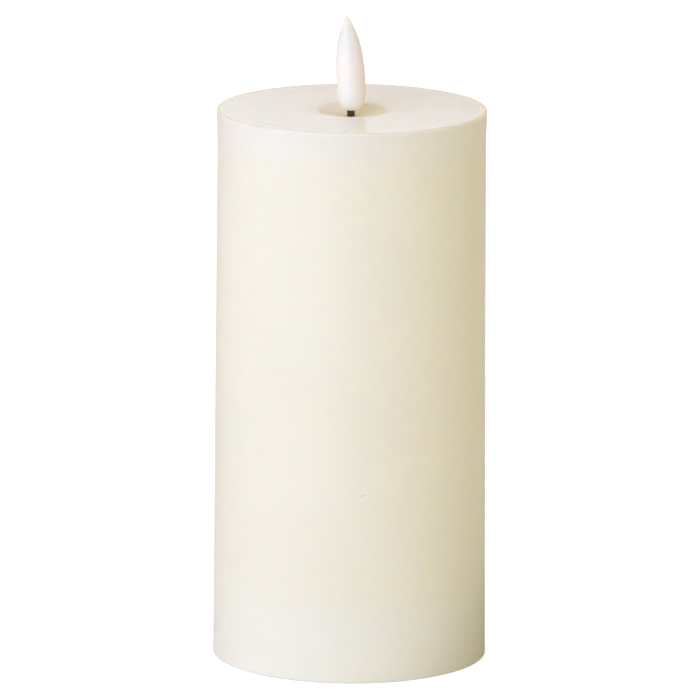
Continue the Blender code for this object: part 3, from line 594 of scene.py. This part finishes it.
def build_pieces():
    wax = revolve("wax_candle", wax_rows(), 256, True, wax_relief)
    replace(wax, "wax_shell", wax_material())
    flame = revolve("flame", flame_rows(), 96, False, flame_lean)
    replace(flame, "flame_diffuser", flame_material())
    wick = revolve("wick", wick_rows(), 60, True, wick_fibres)
    replace(wick, "wick_sleeve", wick_material())


def dress_nodes():
    """Each CAD node that stays gets its own finish."""
    ivory = moulded_plastic("ivory_plastic_moulded", (0.86, 0.82, 0.72))
    black = moulded_plastic("black_plastic_moulded", (0.022, 0.022, 0.024), 0.42)
    nylon = moulded_plastic("white_nylon", (0.86, 0.85, 0.80), 0.4, 0.01)
    steel = metal("nickel_plate", (0.72, 0.71, 0.68), 0.28, (1.0, 0.15, 1.0))
    spring = metal("spring_wire", (0.66, 0.65, 0.62), 0.26)
    zinc = metal("zinc_screw", (0.60, 0.61, 0.63), 0.34)
    tin = metal("tinned_lead", (0.74, 0.74, 0.72), 0.25)
    red = insulation("red_insulation_pvc", (0.50, 0.03, 0.025))
    dark = insulation("black_insulation_pvc", (0.025, 0.025, 0.027))
    finish = {
        "base_housing": ivory,
        "base_cover": ivory,
        "battery_door": ivory,
        "wick_holder": ivory,
        "switch_knob": black,
        "switch_slider": black,
        "switch_case": steel,
        "ir_receiver": black,
        "smoothing_capacitor": insulation("capacitor_sleeve", (0.02, 0.03, 0.05)),
        "timer_crystal": steel,
        "series_resistor": banded_resistor(),
        "controller_chip": chip_material(),
        "circuit_board": board_material(),
        "lead_socket": nylon,
        "lead_plug": nylon,
        "flame_led": clear_resin(),
        "aa_cell_front": cell_material(),
        "positive_plate": steel,
        "negative_plate": steel,
        "bridge_plate": steel,
        "negative_spring": spring,
        "bridge_spring": spring,
        "led_leg_positive": tin,
        "led_leg_negative": tin,
        "splice_sleeve_positive": dark,
        "splice_sleeve_negative": dark,
        "lamp_wire_positive": red,
        "lamp_wire_negative": dark,
        "battery_wire_positive": red,
        "battery_wire_negative": dark,
    }
    finish["aa_cell_back"] = finish["aa_cell_front"]
    for name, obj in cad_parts.items():
        if name.startswith(("cover_screw", "board_screw")):
            dress(obj, zinc)
        elif name in finish:
            dress(obj, finish[name])


# ---------------------------------------------------------------- camera, light and floor

# Camera: metres, degrees, and the lens in mm for a 36 mm sensor
CAMERA_DISTANCE, CAMERA_HEIGHT, CAMERA_LENS = 2.508, 0.6297, 482.3
CAMERA_PITCH, CAMERA_YAW, CAMERA_ROLL = 12.26, 0.004, 0.335

# Softboxes: place, width, height, watts and colour, all aimed at the middle of the candle
LIGHT_AIM = (0, 0, 0.08)
LIGHTS = {
    "front": ((-0.66, -1.14, 0.56), 0.85, 0.85, 11.1, (0.73, 0.756, 1.0)),
    "fill": ((1.9, -0.9, 0.5), 1.2, 1.4, 4.64, (1.0, 0.755, 0.02)),
    "left": ((-1.2, -0.35, 0.40), 0.7, 0.7, 2.05, (0.75, 0.95, 1.0)),
    "above": ((0.0, 0.0, 2.0), 0.6, 0.6, 1.7, (1.0, 1.0, 1.0)),
}

# The room as a sum of soft lobes: direction, cosines where the lobe starts and is full, and colour
ROOM = {
    "all": ((0, 0, 1), -2.0, -1.5, (0.474, 0.468, 0.456)),
    "back": ((0, 1, 0), 0.80, 0.95, (0.521, 0.527, 0.539)),
    "left": ((-1, 0, 0), 0.0, 1.0, (0.276, 0.117, 0.0)),
    "right": ((1, 0, 0), 0.0, 1.0, (0.364, 0.258, 0.045)),
}

# The floor, in metres: its rings, from a hole just inside the candle's foot, and its height
FLOOR_RINGS, FLOOR_SEGMENTS, FLOOR_LEVEL = (0.0373, 0.05, 0.1, 0.3, 1.0, 4.0, 12.0), 64, -0.00002
# How white it is, how white under the candle's shadow for all but the camera, and its glow, which
# only the camera sees and which brings it up to the photograph's plain white
FLOOR_WHITE, FLOOR_SHADE, FLOOR_GLOW = 0.8, 0.2, 0.62
# A painted shadow: the patch where the candle's own shadow falls, darker for all but the camera: centre
# and radii in mm
SHADE_CENTRE, SHADE_CORE, SHADE_EDGE = (46.0, 22.0, 0.0), 30.0, 85.0


def look_at(obj, point, roll=0.0):
    turn = (Vector(point) - obj.location).to_track_quat("-Z", "Y").to_matrix()
    obj.rotation_euler = (turn @ Matrix.Rotation(math.radians(roll), 3, "Z")).to_euler()


def camera():
    data = bpy.data.cameras.new("camera")
    data.sensor_width = 36
    data.lens = CAMERA_LENS
    data.clip_end = 50
    obj = bpy.data.objects.new("camera", data)
    bpy.context.scene.collection.objects.link(obj)
    obj.location = (0, -CAMERA_DISTANCE, CAMERA_HEIGHT)
    pitch, yaw = math.radians(CAMERA_PITCH), math.radians(CAMERA_YAW)
    ahead = Vector((-math.sin(yaw) * math.cos(pitch), math.cos(yaw) * math.cos(pitch), -math.sin(pitch)))
    look_at(obj, obj.location + ahead, CAMERA_ROLL)
    bpy.context.scene.camera = obj


def softbox(name, place, aim, width, height, energy, colour):
    data = bpy.data.lights.new(name, "AREA")
    data.shape = "RECTANGLE"
    data.size, data.size_y = width, height
    data.energy = energy
    data.color = colour
    obj = bpy.data.objects.new(name, data)
    bpy.context.scene.collection.objects.link(obj)
    obj.location = place
    look_at(obj, aim)


def room(lobes):
    """A studio room as the world, and plain white where the camera sees past the floor."""
    world = bpy.data.worlds.new("studio")
    world.use_nodes = True
    bpy.context.scene.world = world
    tree = world.node_tree

    def vector_math(operation, a, b):
        node = tree.nodes.new("ShaderNodeVectorMath")
        node.operation = operation
        for target, value in zip(node.inputs, (a, b)):
            if isinstance(value, tuple):
                target.default_value = value
            else:
                tree.links.new(value, target)
        return node.outputs["Value" if operation == "DOT_PRODUCT" else "Vector"]

    towards = tree.nodes.new("ShaderNodeTexCoord").outputs["Generated"]
    total = (0.0, 0.0, 0.0)
    for axis, start, full, colour in lobes.values():
        lobe = tree.nodes.new("ShaderNodeMapRange")
        lobe.interpolation_type = "SMOOTHSTEP"
        tree.links.new(vector_math("DOT_PRODUCT", towards, axis), lobe.inputs["Value"])
        lobe.inputs["From Min"].default_value = start
        lobe.inputs["From Max"].default_value = full
        total = vector_math("ADD", total, vector_math("MULTIPLY", lobe.outputs[0], colour))
    seen = tree.nodes.new("ShaderNodeMix")
    seen.data_type = "RGBA"
    tree.links.new(tree.nodes.new("ShaderNodeLightPath").outputs["Is Camera Ray"], seen.inputs[0])
    tree.links.new(total, seen.inputs[6])
    seen.inputs[7].default_value = (1, 1, 1, 1)
    tree.links.new(seen.outputs[2], tree.nodes["Background"].inputs["Color"])


def floor_material():
    """White, brighter for the camera than for the light it throws back, and see-through from below."""
    material = bpy.data.materials.new("white_floor")
    material.use_nodes = True
    tree = material.node_tree
    shader = tree.nodes["Principled BSDF"]
    shader.inputs["Roughness"].default_value = 0.9
    shader.inputs["Specular IOR Level"].default_value = 0.0
    seen = tree.nodes.new("ShaderNodeLightPath").outputs["Is Camera Ray"]

    # painted shadow: the floor darker round SHADE_CENTRE for all rays but the camera's
    gap = tree.nodes.new("ShaderNodeVectorMath")
    gap.operation = "DISTANCE"
    tree.links.new(tree.nodes.new("ShaderNodeTexCoord").outputs["Object"], gap.inputs[0])
    gap.inputs[1].default_value = [value * MM for value in SHADE_CENTRE]
    white = tree.nodes.new("ShaderNodeMapRange")
    white.interpolation_type = "SMOOTHSTEP"
    tree.links.new(gap.outputs["Value"], white.inputs["Value"])
    white.inputs["From Min"].default_value = SHADE_CORE * MM
    white.inputs["From Max"].default_value = SHADE_EDGE * MM
    white.inputs["To Min"].default_value = FLOOR_SHADE
    white.inputs["To Max"].default_value = FLOOR_WHITE
    colour = tree.nodes.new("ShaderNodeMix")
    colour.data_type = "RGBA"
    tree.links.new(seen, colour.inputs[0])
    tree.links.new(white.outputs[0], colour.inputs[6])
    colour.inputs[7].default_value = (FLOOR_WHITE, FLOOR_WHITE, FLOOR_WHITE, 1)
    tree.links.new(colour.outputs[2], shader.inputs["Base Color"])

    glow = tree.nodes.new("ShaderNodeMath")
    glow.operation = "MULTIPLY"
    tree.links.new(seen, glow.inputs[0])
    glow.inputs[1].default_value = FLOOR_GLOW
    shader.inputs["Emission Color"].default_value = (1, 1, 1, 1)
    tree.links.new(glow.outputs[0], shader.inputs["Emission Strength"])

    clear = tree.nodes.new("ShaderNodeBsdfTransparent")
    facing = tree.nodes.new("ShaderNodeNewGeometry")
    either = tree.nodes.new("ShaderNodeMixShader")
    tree.links.new(facing.outputs["Backfacing"], either.inputs[0])
    tree.links.new(shader.outputs[0], either.inputs[1])
    tree.links.new(clear.outputs[0], either.inputs[2])
    tree.links.new(either.outputs[0], tree.nodes["Material Output"].inputs["Surface"])
    return material


def floor():
    """A flat table top in rings, open under the candle."""
    verts, faces = [], []
    for radius in FLOOR_RINGS:
        for i in range(FLOOR_SEGMENTS):
            angle = 2 * math.pi * i / FLOOR_SEGMENTS
            verts.append((radius * math.cos(angle), radius * math.sin(angle), FLOOR_LEVEL))
    for ring in range(len(FLOOR_RINGS) - 1):
        inner, outer = ring * FLOOR_SEGMENTS, (ring + 1) * FLOOR_SEGMENTS
        for i in range(FLOOR_SEGMENTS):
            j = (i + 1) % FLOOR_SEGMENTS
            faces.append((inner + i, outer + i, outer + j, inner + j))
    mesh = bpy.data.meshes.new("floor")
    mesh.from_pydata(verts, [], faces)
    obj = bpy.data.objects.new("floor", mesh)
    bpy.context.scene.collection.objects.link(obj)
    mesh.materials.append(floor_material())


def studio():
    camera()
    floor()
    room(ROOM)
    for name, (place, width, height, energy, colour) in LIGHTS.items():
        softbox(name, place, LIGHT_AIM, width, height, energy, colour)
    bpy.context.scene.view_settings.view_transform = "Standard"


build_pieces()
dress_nodes()
studio()
